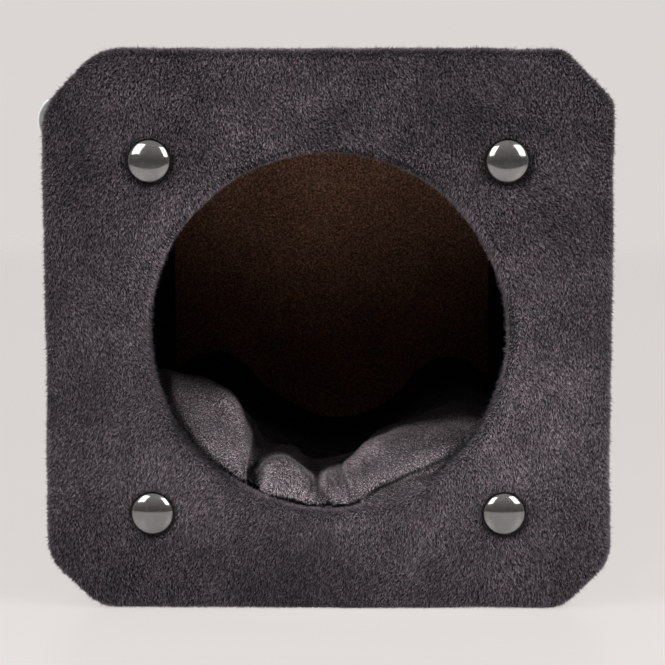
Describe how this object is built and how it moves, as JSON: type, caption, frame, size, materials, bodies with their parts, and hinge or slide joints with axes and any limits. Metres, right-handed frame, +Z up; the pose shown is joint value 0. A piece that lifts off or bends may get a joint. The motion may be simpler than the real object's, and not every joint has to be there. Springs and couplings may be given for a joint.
{
  "type": "cat scratching tunnel",
  "caption": "Plush-covered cat tunnel: square end panels with dome-capped screws, one round entrance, a boxed body with sisal scratch mats and a loose cushion.",
  "frame": {"origin": "on the floor, midway between the two end panels and under the middle of their width", "axes": "+Z up, -Y out of the entrance along the tunnel, +X to the right of someone who looks in"},
  "size_m": [0.3555, 0.4532, 0.348],
  "materials": {
    "panel_plush": "short dark grey plush",
    "cushion_plush": "short dark grey plush",
    "lining_plush": "short dark plush",
    "brown_board": "bare brown fibreboard",
    "block_wood": "sawn softwood",
    "sisal": "woven natural sisal",
    "felt": "black needle felt",
    "screw_steel": "zinc-plated steel",
    "polished_nickel": "polished nickel plating",
    "insert_brass": "turned brass",
    "clear_plastic": "clear plastic",
    "nylon": "white nylon"
  },
  "bodies": {
    "tunnel": {"front_board": "brown_board", "front_cover": "panel_plush", "rear_board": "brown_board", "rear_cover": "panel_plush", "left_wall": "brown_board", "right_wall": "brown_board", "top_wall": "brown_board", "floor_board": "brown_board", "left_lining": "lining_plush", "right_lining": "lining_plush", "left_mat": "sisal", "right_mat": "sisal", "top_mat": "sisal", "under_cover": "felt", "tag_pin": "nylon", "front_top_left_block": "block_wood", "front_top_left_screw": "screw_steel", "front_top_left_cap_seat": "screw_steel", "front_top_left_dome_cap": "polished_nickel", "front_top_left_insert": "insert_brass", "front_top_right_block": "block_wood", "front_top_right_screw": "screw_steel", "front_top_right_cap_seat": "screw_steel", "front_top_right_dome_cap": "polished_nickel", "front_top_right_insert": "insert_brass", "front_bottom_left_block": "block_wood", "front_bottom_left_screw": "screw_steel", "front_bottom_left_cap_seat": "screw_steel", "front_bottom_left_dome_cap": "polished_nickel", "front_bottom_left_insert": "insert_brass", "front_bottom_right_block": "block_wood", "front_bottom_right_screw": "screw_steel", "front_bottom_right_cap_seat": "screw_steel", "front_bottom_right_dome_cap": "polished_nickel", "front_bottom_right_insert": "insert_brass", "rear_top_left_block": "block_wood", "rear_top_left_screw": "screw_steel", "rear_top_left_cap_seat": "screw_steel", "rear_top_left_dome_cap": "polished_nickel", "rear_top_left_insert": "insert_brass", "rear_top_right_block": "block_wood", "rear_top_right_screw": "screw_steel", "rear_top_right_cap_seat": "screw_steel", "rear_top_right_dome_cap": "polished_nickel", "rear_top_right_insert": "insert_brass", "rear_bottom_left_block": "block_wood", "rear_bottom_left_screw": "screw_steel", "rear_bottom_left_cap_seat": "screw_steel", "rear_bottom_left_dome_cap": "polished_nickel", "rear_bottom_left_insert": "insert_brass", "rear_bottom_right_block": "block_wood", "rear_bottom_right_screw": "screw_steel", "rear_bottom_right_cap_seat": "screw_steel", "rear_bottom_right_dome_cap": "polished_nickel", "rear_bottom_right_insert": "insert_brass"},
    "cushion": {"cushion": "cushion_plush"},
    "tag": {"tag_disc": "clear_plastic"}
  },
  "joints": [
    {"name": "cushion_lift", "type": "slide", "parent": "tunnel", "child": "cushion", "axis": [0, 0, 1], "range_m": [0, 0.1]},
    {"name": "tag_swing", "type": "hinge", "parent": "tunnel", "child": "tag", "pos_m": [-0.1635, -0.1963, 0.3175], "axis": [0, 1, 0], "range_deg": [0, 75]}
  ]
}
